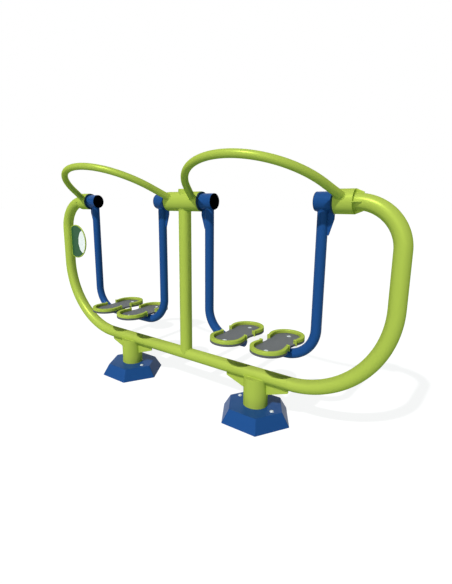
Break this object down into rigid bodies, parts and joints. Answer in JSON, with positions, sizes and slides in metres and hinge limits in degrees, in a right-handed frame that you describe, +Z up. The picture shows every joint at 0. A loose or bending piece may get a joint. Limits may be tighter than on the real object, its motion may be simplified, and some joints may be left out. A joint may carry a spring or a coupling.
{
  "type": "outdoor air walker",
  "caption": "Double outdoor air walker: a closed bent tube frame on covered feet, with swinging legs on pedals and a curved handrail at each walking station.",
  "frame": {"origin": "on the floor, in the middle of the footprint box", "axes": "+X along the machine to its right end as seen by a person in front of the handrails, -Y to the front where the handrails are, +Z up"},
  "size_m": [2.486, 0.5908, 1.4379],
  "materials": {
    "lime_paint": "smooth semi-gloss powder coat, lime green",
    "blue_paint": "smooth semi-gloss powder coat, blue",
    "sign_face": "satin dark green face with a lime edge and a bare white oval",
    "grey_tread": "matt dark grey with a fine anti-slip grain",
    "black_plastic": "smooth black cap",
    "black_rubber": "matt black",
    "bare_steel": "turned steel"
  },
  "bodies": {
    "frame": {"frame_bend_left": "lime_paint", "frame_bend_right": "lime_paint", "bottom_rail": "lime_paint", "centre_post": "lime_paint", "centre_post_cap": "lime_paint", "centre_housing": "lime_paint", "outer_housing_left": "lime_paint", "outer_housing_right": "lime_paint", "handrail_left": "lime_paint", "handrail_right": "lime_paint", "foot_post_left": "lime_paint", "foot_post_right": "lime_paint", "foot_flange_left": "bare_steel", "foot_flange_right": "bare_steel", "foot_cover_left": "blue_paint", "foot_cover_right": "blue_paint", "sign_plate": "sign_face", "bearing_front_left_outer": "bare_steel", "bearing_rear_left_outer": "bare_steel", "bearing_front_left_inner": "bare_steel", "bearing_rear_left_inner": "bare_steel", "bearing_front_right_inner": "bare_steel", "bearing_rear_right_inner": "bare_steel", "bearing_front_right_outer": "bare_steel", "bearing_rear_right_outer": "bare_steel"},
    "swing_left_outer": {"hub_left_outer": "blue_paint", "axle_left_outer": "bare_steel", "end_cap_left_outer": "black_plastic", "dust_seal_left_outer": "black_rubber", "leg_left_outer": "blue_paint", "pedal_left_outer": "grey_tread", "rim_rear_left_outer": "lime_paint", "rim_front_left_outer": "lime_paint"},
    "swing_left_inner": {"hub_left_inner": "blue_paint", "axle_left_inner": "bare_steel", "end_cap_left_inner": "black_plastic", "dust_seal_left_inner": "black_rubber", "leg_left_inner": "blue_paint", "pedal_left_inner": "grey_tread", "rim_rear_left_inner": "lime_paint", "rim_front_left_inner": "lime_paint"},
    "swing_right_inner": {"hub_right_inner": "blue_paint", "axle_right_inner": "bare_steel", "end_cap_right_inner": "black_plastic", "dust_seal_right_inner": "black_rubber", "leg_right_inner": "blue_paint", "pedal_right_inner": "grey_tread", "rim_rear_right_inner": "lime_paint", "rim_front_right_inner": "lime_paint"},
    "swing_right_outer": {"hub_right_outer": "blue_paint", "axle_right_outer": "bare_steel", "end_cap_right_outer": "black_plastic", "dust_seal_right_outer": "black_rubber", "leg_right_outer": "blue_paint", "pedal_right_outer": "grey_tread", "rim_rear_right_outer": "lime_paint", "rim_front_right_outer": "lime_paint"}
  },
  "joints": [
    {"name": "swing_left_outer_joint", "type": "hinge", "parent": "frame", "child": "swing_left_outer", "pos_m": [-0.906, 0.09066, 1.215], "axis": [1, 0, 0], "range_deg": [-45, 45]},
    {"name": "swing_left_inner_joint", "type": "hinge", "parent": "frame", "child": "swing_left_inner", "pos_m": [-0.126, 0.09066, 1.215], "axis": [1, 0, 0], "range_deg": [-45, 45]},
    {"name": "swing_right_inner_joint", "type": "hinge", "parent": "frame", "child": "swing_right_inner", "pos_m": [0.126, 0.09066, 1.215], "axis": [1, 0, 0], "range_deg": [-45, 45]},
    {"name": "swing_right_outer_joint", "type": "hinge", "parent": "frame", "child": "swing_right_outer", "pos_m": [0.906, 0.09066, 1.215], "axis": [1, 0, 0], "range_deg": [-45, 45]}
  ]
}
